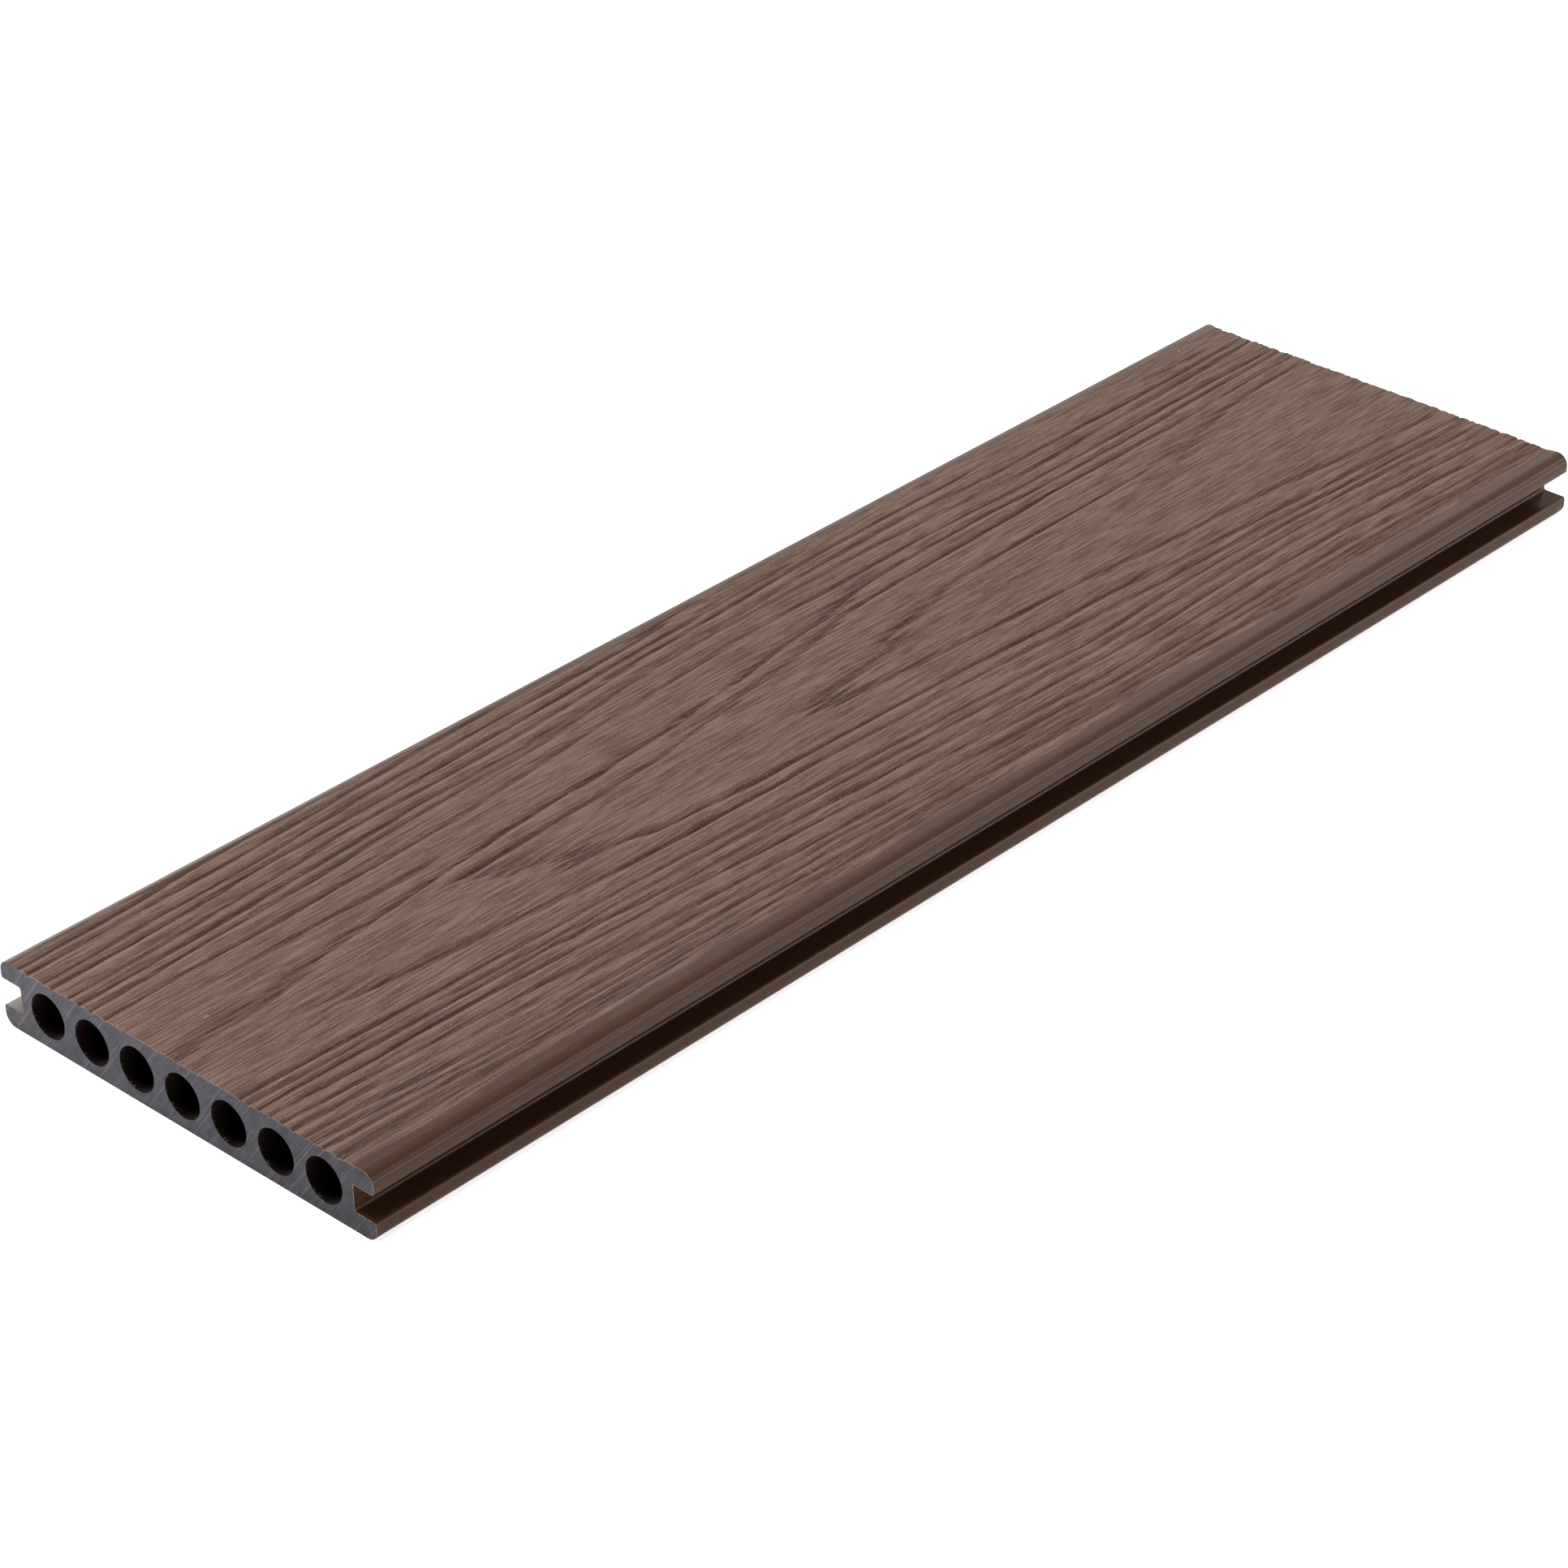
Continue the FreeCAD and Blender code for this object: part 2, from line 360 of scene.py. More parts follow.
def side_outline(sizes):
    """The right edge of the section as (y, z), from the walking face down to the underside.

    Arcs joined by straight runs: the outer round, the lip's mouth round, the groove's two inner fillets and
    the lower lip's two rounds.
    """
    half = sizes.width / 2
    low = (sizes.thickness - sizes.groove_height) / 2
    high = sizes.thickness - low
    outer, mouth, fillet = sizes.outer_radius, sizes.mouth_radius, sizes.groove_fillet
    wall = -(half - sizes.groove_depth)
    return np.concatenate([
        arc((outer - half, sizes.thickness - outer), outer, 90, 180, 8),
        arc((mouth - half, high + mouth), mouth, 180, 270, 3),
        arc((wall - fillet, high - fillet), fillet, 90, 0, 3),
        arc((wall - fillet, low + fillet), fillet, 0, -90, 4),
        arc((mouth - half, low - mouth), mouth, 90, 180, 3),
        arc((outer - half, outer), outer, 180, 270, 6),
    ])


def section_outline(sizes, columns):
    """The closed section as (y, z): the walking face's columns from +Y to -Y, then down, along and up."""
    right = side_outline(sizes)
    flat = np.linspace(-right[0, 0], right[0, 0], columns + 1)[:-1]
    top = np.stack([flat, np.full(columns, sizes.thickness)], axis=1)
    left = right[::-1] * (-1, 1)
    return np.concatenate([top, right, left[:-1]])


def inward(outline):
    """Unit vectors into the solid along a closed outline that runs clockwise seen from the near end."""
    along = np.roll(outline, -1, axis=0) - np.roll(outline, 1, axis=0)
    normal = np.stack([-along[:, 1], along[:, 0]], axis=1)
    return normal / np.linalg.norm(normal, axis=1, keepdims=True)


def strip(first, second):
    """Quads between two closed rows of vertex numbers."""
    return np.stack([first, np.roll(first, -1), np.roll(second, -1), second], axis=1)


def board_grid(sizes, relief, outline, stations, rng):
    """The points of the skin, a row of the outline at each station, and the surface values of each.

    The pressed grain lowers the walking face. The saw tore chips out of it at the ends, more at the far
    one: their depth is the square of a mix of two noises across the board. The rim is how strongly the
    cap's torn line shows on the cut: all round except along the underside, and weaker on the left.
    """
    top = slice(0, relief.columns)
    from_end = (stations - stations[0])[:, None] / MM
    grain = pressed_grain(from_end, outline[None, top, 0] / MM, sizes.length / MM, relief)
    grid = np.empty((len(stations), len(outline), 3))
    grid[..., 0] = stations[:, None]
    grid[..., 1:] = outline
    grid[:, top, 2] -= grain["depth"] * MM
    for end, share in CHIP_SHARES:
        fine, wide = (lattice_noise(rng, np.zeros(1), outline[top, 0] / MM, cell) for cell in CHIP_CELLS)
        chips = (FINE_CHIPS * fine + (1 - FINE_CHIPS) * wide) ** 2 * grain["pressed"][end]
        grid[end, top, 2] -= share * relief.chip_depth * chips
    values = {name: np.zeros(grid.shape[:2]) for name in GRAIN_VALUES}
    for name, kept in values.items():
        kept[:, top] = grain[name]
    on_left = outline[:, 0] > GROOVE_WALL
    torn = smooth_step(outline[:, 1] / sizes.outer_radius) * np.where(on_left, LEFT_RIM, 1.0)
    values["rim"] = np.broadcast_to(torn, grid.shape[:2])
    return grid, values


def bore_ring(chamber, x, wear=0.0):
    """Points round a chamber at one station: its circle, made larger by the wear."""
    radius = chamber["dims"]["r_mm"] * MM + wear
    return np.stack([np.full(len(BORE_ANGLES), x),
                     chamber["pos_m"][1] + radius * np.cos(BORE_ANGLES),
                     chamber["pos_m"][2] + radius * np.sin(BORE_ANGLES)], axis=1)


def sawn_end(vertices, edge, edge_row, into, facing, relief, rng):
    """Faces of one sawn end, and the rows of vertex numbers round its chambers.

    A narrow strip for the torn cap line lies inside the skin's last row. The flat inside it is divided into
    triangles round the chambers, whose rims the saw left ragged, more so below.
    """
    inner = edge.copy()
    inner[:, 1:] += into * relief.cut_edge
    inner_row = vertices.add(inner)
    rim = strip(inner_row, edge_row) if facing < 0 else strip(edge_row, inner_row)
    loops, rows = [inner[:, 1:]], [inner_row]
    for chamber in CHAMBERS:
        wear = relief.rim_wear * rng.random(len(BORE_ANGLES)) ** 2 * (1 - np.sin(BORE_ANGLES)) / 2
        ring = bore_ring(chamber, edge[0, 0], wear)
        loops.append(ring[:, 1:])
        rows.append(vertices.add(ring))
    flat = [np.column_stack([loop, np.zeros(len(loop))]).tolist() for loop in loops]
    triangles = np.array(tessellate_polygon(flat))
    corners = np.concatenate(loops)[triangles]
    first, second = corners[:, 1] - corners[:, 0], corners[:, 2] - corners[:, 0]
    turn = first[:, 0] * second[:, 1] - first[:, 1] * second[:, 0]
    outward = np.where((turn * facing < 0)[:, None], triangles[:, ::-1], triangles)
    return [(rim, CORE, False), (np.concatenate(rows)[outward], CORE, False)], rows[1:]


def chamber_walls(vertices, stations, near_rows, far_rows):
    """Faces of the chambers' walls, in three runs: a short one behind each rim and a long one between."""
    faces = []
    for chamber, near, far in zip(CHAMBERS, near_rows, far_rows):
        places = (stations[0] + RIM_RUN, stations[-1] - RIM_RUN)
        rows = [near, *(vertices.add(bore_ring(chamber, x)) for x in places), far]
        faces += [(strip(after, before), CHAMBER, True) for before, after in zip(rows, rows[1:])]
    return faces


def rim_burrs(rng, end, inwards, size):
    """Points of small octahedra on the left of each chamber's rim, half sunk in its wall, and their faces.

    Each has its six points along the rim, out from the chamber's middle and along the board, at random
    lengths and at random angles about the chamber's left.
    """
    middles = np.array([chamber["pos_m"][1:] for chamber in CHAMBERS])
    radii = np.array([chamber["dims"]["r_mm"] * MM for chamber in CHAMBERS])
    shape = (len(CHAMBERS), BURRS_PER_RIM)
    angle = np.radians(rng.uniform(*BURR_ANGLES, shape))
    out = np.stack([np.zeros(shape), np.cos(angle), np.sin(angle)], axis=-1)
    round_rim = np.stack([np.zeros(shape), -np.sin(angle), np.cos(angle)], axis=-1)
    board_way = np.broadcast_to((1.0, 0.0, 0.0), out.shape)
    lengths = size * rng.uniform(LEAST_BURR, 1.0, (3, *shape, 1)) ** 1.5
    place = radii[:, None, None] * out
    place[..., 0] = end + inwards * size * BURR_INSET
    place[..., 1:] += middles[:, None]
    reach = (round_rim * lengths[0], out * lengths[1], board_way * lengths[2])
    points = np.stack([place + sign * way for way in reach for sign in (1, -1)], axis=-2)
    corners = [(0, 2, 4), (2, 1, 4), (1, 3, 4), (3, 0, 4), (2, 0, 5), (1, 2, 5), (3, 1, 5), (0, 3, 5)]
    return points.reshape(-1, 6, 3), np.array(corners)[:, ::-1]


class Vertices:
    """Rows of points gathered for one mesh, with each point's surface values."""

    def __init__(self, values):
        self.places = []
        self.values = {name: [] for name in values}
        self.count = 0

    def add(self, places, **values):
        """Adds points of any grid shape and returns their numbers in that shape."""
        grid = places.shape[:-1]
        self.places.append(places.reshape(-1, 3))
        for name, kept in self.values.items():
            kept.append(np.broadcast_to(values.get(name, 0.0), grid).ravel())
        numbers = np.arange(self.count, self.count + math.prod(grid)).reshape(grid)
        self.count += math.prod(grid)
        return numbers


def build_mesh(name, vertices, faces, materials):
    """A mesh from gathered points and lists of (face rows, material number, smooth)."""
    places = np.concatenate(vertices.places)
    corners = np.concatenate([rows.ravel() for rows, _, _ in faces])
    sides = np.concatenate([np.full(len(rows), rows.shape[1]) for rows, _, _ in faces])
    mesh = bpy.data.meshes.new(name)
    mesh.vertices.add(len(places))
    mesh.vertices.foreach_set("co", places.astype(np.float32).ravel())
    mesh.loops.add(len(corners))
    mesh.loops.foreach_set("vertex_index", corners.astype(np.int32))
    mesh.polygons.add(len(sides))
    mesh.polygons.foreach_set("loop_start", np.concatenate([[0], np.cumsum(sides)[:-1]]).astype(np.int32))
    mesh.update(calc_edges=True)
    for material in materials:
        mesh.materials.append(material)
    slots = np.concatenate([np.full(len(rows), slot) for rows, slot, _ in faces])
    smooth = np.concatenate([np.full(len(rows), shade) for rows, _, shade in faces])
    mesh.polygons.foreach_set("material_index", slots.astype(np.int32))
    mesh.polygons.foreach_set("use_smooth", smooth)
    for value, kept in vertices.values.items():
        layer = mesh.attributes.new(value, "FLOAT", "POINT")
        layer.data.foreach_set("value", np.concatenate(kept).astype(np.float32))
    # Edges that lie in a sawn end are sharp, so that the skin keeps its own shading up to the cut.
    pairs = np.empty(2 * len(mesh.edges), np.int32)
    mesh.edges.foreach_get("vertices", pairs)
    at_cut = np.abs(places[:, 0]) > np.abs(places[:, 0]).max() - 1e-6
    sharp = mesh.attributes.new("sharp_edge", "BOOLEAN", "EDGE")
    sharp.data.foreach_set("value", at_cut[pairs].reshape(-1, 2).all(axis=1))
    if mesh.validate():
        raise RuntimeError(f"{name} had faces that had to be mended")
    return mesh


class Wire:
    """An output of a material's nodes. Sums and the like of wires and numbers add Math nodes."""

    def __init__(self, tree, output):
        self.tree = tree
        self.output = output

    def node(self, kind, settings, sockets, output=0):
        """Adds a node of any kind: its settings, then its sockets as numbers or wires, by name or place."""
        made = self.tree.nodes.new(kind)
        for name, value in settings.items():
            setattr(made, name, value)
        for key, value in sockets.items():
            if isinstance(value, Wire):
                self.tree.links.new(value.output, made.inputs[key])
            else:
                made.inputs[key].default_value = value
        return Wire(self.tree, made.outputs[output])

    def math(self, operation, *values):
        return self.node("ShaderNodeMath", {"operation": operation}, dict(enumerate(values)))

    def __add__(self, other):
        return self.math("ADD", self, other)

    def __radd__(self, other):
        return self.math("ADD", other, self)

    def __sub__(self, other):
        return self.math("SUBTRACT", self, other)

    def __rsub__(self, other):
        return self.math("SUBTRACT", other, self)

    def __mul__(self, other):
        return self.math("MULTIPLY", self, other)

    def __rmul__(self, other):
        return self.math("MULTIPLY", other, self)

    def __abs__(self):
        return self.math("ABSOLUTE", self)

    def larger(self, other):
        return self.math("MAXIMUM", self, other)

    def step(self, low, high):
        """0 at low and 1 at high, smooth between them and level beyond."""
        settings = {"interpolation_type": "SMOOTHSTEP"}
        return self.node("ShaderNodeMapRange", settings, {"Value": self, "From Min": low, "From Max": high})

    def contour(self, near, far):
        """1 where this wire is within near of 0.5, falling to 0 at far from it."""
        return 1 - abs(self - 0.5).step(near, far)

    def mix(self, first, second):
        """Colours first to second as this wire goes from 0 to 1."""
        return self.node("ShaderNodeMix", {"data_type": "RGBA"}, {0: self, 6: first, 7: second}, output=2)

    def tinted(self, brightness):
        """This colour times a brightness or another colour."""
        settings = {"data_type": "RGBA", "blend_type": "MULTIPLY"}
        return self.node("ShaderNodeMix", settings, {0: 1.0, 6: self, 7: brightness}, output=2)

    def part(self, name):
        """The X, Y or Z of this vector."""
        return self.node("ShaderNodeSeparateXYZ", {}, {"Vector": self}, output=name)

    def scaled(self, x, y, z):
        """This vector with each part divided by a length in millimetres."""
        sizes = (1 / (x * MM), 1 / (y * MM), 1 / (z * MM))
        return self.node("ShaderNodeVectorMath", {"operation": "MULTIPLY"}, {0: self, 1: sizes})

    def noise(self, detail=2.0, roughness=0.5):
        """Noise from 0 to 1 with a cell of 1 along each part of this vector."""
        sockets = {"Vector": self, "Scale": 1.0, "Detail": detail, "Roughness": roughness}
        return self.node("ShaderNodeTexNoise", {}, sockets)

    def cells(self, output):
        """Distance from the nearest of scattered points, one to a cell of 1, or that point's Color."""
        return self.node("ShaderNodeTexVoronoi", {}, {"Vector": self, "Scale": 1.0}, output=output)

    def dots(self, inner, outer, fewest, most):
        """Scattered dots, one to each cell of 1: full up to the inner distance and gone at the outer one.

        A dot's strength rises from 0 to 1 as its random number goes from fewest to most.
        """
        pick = self.node("ShaderNodeSeparateColor", {}, {"Color": self.cells("Color")}, output="Red")
        return (1 - self.cells("Distance").step(inner, outer)) * pick.step(fewest, most)


def start_material(name):
    """An empty material with its Principled shader and a wire of the piece's own coordinates in metres."""
    material = bpy.data.materials.new(name)
    material.use_nodes = True
    tree = material.node_tree
    shader = tree.nodes["Principled BSDF"]
    coordinates = tree.nodes.new("ShaderNodeTexCoord")
    return material, shader, Wire(tree, coordinates.outputs["Object"])


def attribute(wire, name):
    """One of the mesh's own surface values."""
    return wire.node("ShaderNodeAttribute", {"attribute_name": name}, {}, output="Fac")


def from_cut(place):
    """How far a place lies from the nearer sawn end."""
    return BOARD_HIGH.x - abs(place.part("X"))


def finish_material(shader, colour, roughness, height, depth, strength, specular):
    """Feeds the shader: its colour, its roughness and a bump as deep as the depth for a height of 1."""
    sockets = {"Strength": strength, "Distance": depth, "Height": height}
    bump = height.node("ShaderNodeBump", {}, sockets, output="Normal")
    links = height.tree.links
    links.new(colour.output, shader.inputs["Base Color"])
    links.new(roughness.output, shader.inputs["Roughness"])
    links.new(bump.output, shader.inputs["Normal"])
    shader.inputs["Specular IOR Level"].default_value = specular


def rgba(colour):
    return (*colour, 1.0)


def cap_material(colours):
    """The brown cap: streaky pressed grain on the walking face, satin and nearly plain everywhere else."""
    material, shader, place = start_material("timber_cap")
    ring, strength, skew, crest, smear, pressed = (attribute(place, name) for name in GRAIN_VALUES)

    # Straight fibres along the board, from fine hairs to broad patches of tone.
    hair = place.scaled(*HAIR).noise(roughness=0.6)
    thread = place.scaled(*THREAD).noise(roughness=0.6)
    patch = place.scaled(*PATCH).noise()
    grit = place.scaled(*GRIT).noise()
    fibre = place.scaled(*FIBRE).noise(roughness=0.6)
    broad = place.scaled(*BROAD).noise()
    line = fibre.contour(0.015, 0.06)

    # Rings torn into fibres: each fibre takes the ring from a place shifted along the board.
    shift = FIBRE_DRAG * (fibre - 0.5)
    torn = ring + skew * shift * (1 / MM) + 0.5 * (hair - 0.5) + 0.5 * (thread - 0.5)
    # Along and in each ring's slit the cap is darkened: partly darker pigment, partly painted shade of the
    # slit and valley.
    slit = torn.step(0.64, 0.72)
    lined = (0.15 + 0.65 * patch.step(0.47, 0.66)).larger(1.3 * smear).larger(torn.step(0.25, 0.5))
    dark = (slit * strength * (0.46 + 0.42 * line)).larger(0.75 * (line * lined)).larger(0.36 * smear)

    # The tone between the rings, with reddish streaks and a painted highlight on the lit crests.
    rough = broad.step(0.38, 0.62)
    tone = (1.2 + 1.1 * rough) * (hair - 0.5) + 0.68 * thread.step(0.36, 0.64) + 0.5 * patch + 0.6 * grit
    tone = tone + 0.7 * (broad - 0.5) + 0.42 * crest - 0.275
    # The pale end of the streaks is the cap's own paler tone, with a grey tint that is painted sheen on the
    # ridges.
    streaked = tone.mix(rgba(colours.cap_dark), rgba(colours.cap_pale_and_sheen))
    red = place.scaled(*REDDISH).noise(detail=3.0, roughness=0.55).step(0.4, 0.72)
    reddened = red.mix(streaked, streaked.tinted(rgba(colours.red_tint)))
    ringed = dark.mix(reddened, rgba(colours.ring_bottom_and_shade))

    # Pale flecks, grains and curled fibres on the pressed face.
    fleck = place.scaled(*FLECK).dots(0.08, 0.25, 0.9, 1.03)
    grain = grit.step(0.58, 0.74)
    curl = place.scaled(*CURL).noise(detail=1.0).step(0.66, 0.74)
    curled = curl * place.scaled(*BEND).noise(detail=1.0).contour(0.008, 0.03)
    pale = (0.55 * fleck).larger(0.25 * grain).larger(0.45 * curled) * pressed.step(0.6, 1.0)
    flecked = pale.mix(ringed, rgba(colours.fleck))

    # The satin cap: the groove is glossier than the lips and has painted shade, lifted near the cuts as
    # painted light.
    from_middle = abs(place.part("Z") - (BOARD_LOW.z + BOARD_HIGH.z) / 2)
    groove = 1 - from_middle.step(3.9 * MM, 4.6 * MM)
    die_lines = place.scaled(*DIE_LINE).noise(detail=3.0, roughness=0.6)
    mottle = place.scaled(*MOTTLE).noise(detail=3.0)
    smooth = (0.5 * die_lines + 0.5 * mottle).mix(rgba(colours.smooth_dark), rgba(colours.smooth_light))
    # Painted shade in the clip groove, fading out towards the sawn ends as painted light from the open
    # ends.
    smooth = smooth.tinted(1 - 0.25 * groove * from_cut(place).step(2 * MM, 16 * MM))
    satin = (0.278 + 0.03 * mottle) * (1 - 0.45 * groove)
    wave = place.scaled(*WAVE).noise(detail=1.0)

    grained = (pressed * (0.4 + 0.7 * thread + 0.5 * patch)).step(0.25, 0.85)
    colour = grained.mix(smooth, flecked)
    roughness = satin + grained * (0.62 + 0.16 * hair - satin)
    relief = 0.5 * hair + 0.35 * thread + 0.3 * grit - 0.5 * dark + 0.3 * fleck
    height = grained * relief + (1 - grained) * (0.02 * die_lines + 0.45 * wave)
    finish_material(shader, colour, roughness, height, depth=0.2 * MM, strength=1.0, specular=0.25)
    return material


def core_material(colours):
    """The sawn grey core: pale slanting saw marks, small specks and a torn tan line round the cut."""
    material, shader, place = start_material("sawn_core")
    across, up = place.part("Y"), place.part("Z")
    over = across * math.sin(SAW_SLANT) + up * math.cos(SAW_SLANT)
    along = up * math.sin(SAW_SLANT) - across * math.cos(SAW_SLANT)
    saw_place = place.node("ShaderNodeCombineXYZ", {}, {"X": over, "Y": along})
    strong = saw_place.scaled(*STRONG_MARK).noise(roughness=0.7).step(0.57, 0.65)
    faint = saw_place.scaled(*FAINT_MARK).noise(detail=1.0).step(0.4, 0.7)
    cloud = place.scaled(*CLOUD).noise(detail=3.0, roughness=0.6)
    grit = place.scaled(*CORE_GRIT).noise()

    grey = cloud.step(0.35, 0.65).mix(rgba(colours.core_dark), rgba(colours.core_grey))
    grey = grey.tinted(0.6 + 0.38 * faint + 0.45 * grit)
    marked = (0.36 * strong).mix(grey, rgba(colours.saw_mark))
    speck = place.scaled(*SPECK).dots(0.05, 0.12, 0.85, 1.1)
    specked = (0.8 * speck).mix(marked, rgba(colours.burr))

    torn = place.scaled(*TORN_CAP).noise(detail=3.0, roughness=0.7)
    rim = (attribute(place, "rim") + 1.6 * (torn - 0.5)).step(0.45, 0.75)
    colour = rim.mix(specked, rgba(colours.cut_edge))
    roughness = 0.5 + 0.15 * grit
    height = 0.4 * strong + 0.25 * faint + 0.2 * grit + 0.5 * rim
    finish_material(shader, colour, roughness, height, depth=0.1 * MM, strength=0.6, specular=0.4)
    return material


def chamber_material(colours):
    """The inside of the chambers: near-black painted shade, lengthwise die lines, and painted light near
    the cuts.
    """
    material, shader, place = start_material("chamber_wall")
    lines = place.scaled(*CHAMBER_LINE).noise(detail=3.0, roughness=0.6)
    mottle = place.scaled(*CHAMBER_MOTTLE).noise(detail=3.0)
    # Painted light from the open ends near each cut, fading into the near-black painted shade deeper in;
    # the mottle breaks it up.
    lit_near_cut = from_cut(place).step(7 * MM, 1 * MM) * (0.6 + 0.8 * mottle)
    colour = lit_near_cut.mix(rgba(colours.chamber_shade), rgba(colours.chamber_lit_near_cut))
    roughness = 0.5 + 0.2 * mottle
    finish_material(shader, colour, roughness, lines, depth=0.1 * MM, strength=0.5, specular=0.2)
    return material


def burr_material(colours):
    """Small pale burrs that the saw left on the chambers' rims."""
    material, shader, place = start_material("saw_burr")
    shade = place.scaled(*BURR_SHADE).noise()
    colour = shade.mix(rgba(colours.core_grey), rgba(colours.burr))
    roughness = 0.5 + 0.2 * shade
    finish_material(shader, colour, roughness, shade, depth=0.02 * MM, strength=0.5, specular=0.3)
    return material


def put(name, data):
    """An object for that data, in the scene and at the origin."""
    made = bpy.data.objects.new(name, data)
    bpy.context.scene.collection.objects.link(made)
    return made


def plain_setting(name, description, default):
    return FloatProperty(name=name, description=description, default=default)


def length_setting(name, description, default):
    return FloatProperty(name=name, description=description, unit="LENGTH", default=default)


def colour_setting(name, description, default):
    return FloatVectorProperty(name=name, description=description, subtype="COLOR", default=default)


def power_setting(name, description, default):
    return plain_setting(name, f"{description}, in watts", default)


def angle_setting(name, description, degrees):
    return FloatProperty(name=name, description=description, subtype="ANGLE", default=math.radians(degrees))


class BoardSizes(PropertyGroup):
    """The section and length of the board, as in the construction model."""

    length: length_setting("Length", "Sawn length of the board", BOARD_HIGH.x - BOARD_LOW.x)
    width: length_setting("Width", "Across both lips", BOARD_HIGH.y - BOARD_LOW.y)
    thickness: length_setting("Thickness", "Underside to walking face", BOARD_HIGH.z - BOARD_LOW.z)
    groove_height: length_setting("Groove height", "Mouth of the clip groove", 8 * MM)
    groove_depth: length_setting("Groove depth", "Lip end to the groove's inner wall",
                                 BOARD_HIGH.y - GROOVE_WALL)
    outer_radius: length_setting("Outer radius", "Round on the long outer edges", 3.5 * MM)
    mouth_radius: length_setting("Mouth radius", "Round on the lips at the groove's mouth", 0.8 * MM)
    groove_fillet: length_setting("Groove fillet", "Fillet along the groove's inner corners", 0.7 * MM)


class GrainRelief(PropertyGroup):
    """How deep the grain is pressed and how finely the walking face is divided."""

    columns: IntProperty(name="Columns", description="Divisions across the walking face", default=364)
    stations: IntProperty(name="Stations", description="Divisions along the board", default=222)
    seed: IntProperty(name="Seed", description="Start of the noise in the grain", default=11)
    ring_gentle: length_setting("Gentle side", "Ring line to the left edge of its valley", 2.4 * MM)
    ring_steep: length_setting("Steep side", "Ring line to the right edge of its valley", 0.8 * MM)
    valley_depth: length_setting("Valley depth", "Wide shallow valley along a ring", 0.28 * MM)
    slit_depth: length_setting("Slit depth", "Narrow groove at the bottom of a valley", 0.4 * MM)
    fibre_depth: length_setting("Fibre depth", "Fine fibres all over the pressed face", 0.1 * MM)
    fibre_shift: length_setting("Fibre shift", "How far a fibre drags a ring along the board", 9.0 * MM)
    left_band: length_setting("Left band", "Unpressed band along the left edge", 4.0 * MM)
    right_band: length_setting("Right band", "Unpressed band along the right edge", 6.3 * MM)
    cut_edge: length_setting("Cut edge", "Width of the torn cap line on the sawn ends", 0.4 * MM)
    chip_depth: length_setting("Chip depth", "Deepest chip of the pressed face at a sawn end", 0.9 * MM)
    chip_reach: length_setting("Chip reach", "How far the chips reach in from a sawn end", 0.9 * MM)
    burr_size: length_setting("Burr size", "Half the length of the largest burr on the rims", 0.36 * MM)
    rim_wear: length_setting("Rim wear", "Ragged edge of the chambers at the sawn ends", 0.14 * MM)


class BoardColours(PropertyGroup):
    """The finishes' colours, as linear values."""

    cap_dark: colour_setting("Cap dark", "Darkest streaks of the cap", (0.084, 0.0385, 0.0205))
    # Palest streaks: the cap's own paler tone, tinted grey as painted sheen.
    cap_pale_and_sheen: colour_setting("Cap pale", "Palest streaks of the cap", (0.25, 0.16, 0.122))
    red_tint: colour_setting("Red tint", "Times the cap's colour in reddish streaks", (1.0, 0.905, 0.82))
    # The rings' bottoms: partly darker pigment and partly painted shade in their slits.
    ring_bottom_and_shade: colour_setting("Ring dark", "Bottom of the rings", (0.074, 0.034, 0.0195))
    fleck: colour_setting("Fleck", "Pale fibres on the cap", (0.4, 0.3, 0.235))
    smooth_light: colour_setting("Smooth light", "Satin cap of the edges", (0.1, 0.0465, 0.0258))
    smooth_dark: colour_setting("Smooth dark", "Darker lines of the satin cap", (0.08, 0.0362, 0.0192))
    core_grey: colour_setting("Core grey", "Sawn core", (0.0465, 0.044, 0.0563))
    core_dark: colour_setting("Core dark", "Darker clouds of the core", (0.027, 0.0258, 0.033))
    saw_mark: colour_setting("Saw mark", "Pale marks of the saw", (0.125, 0.124, 0.138))
    burr: colour_setting("Burr", "Pale burrs and specks left by the saw", (0.32, 0.31, 0.31))
    cut_edge: colour_setting("Cut edge", "Torn edge of the cap at the cut", (0.27, 0.178, 0.137))
    # The chambers' near-black wall is painted shade, and their paler part near the cuts is painted light.
    chamber_shade: colour_setting("Chamber dark", "Inside of the chambers", (0.002, 0.002, 0.002))
    chamber_lit_near_cut: colour_setting("Chamber light", "Paler parts of the chambers", (0.025, 0.013, 0.0093))


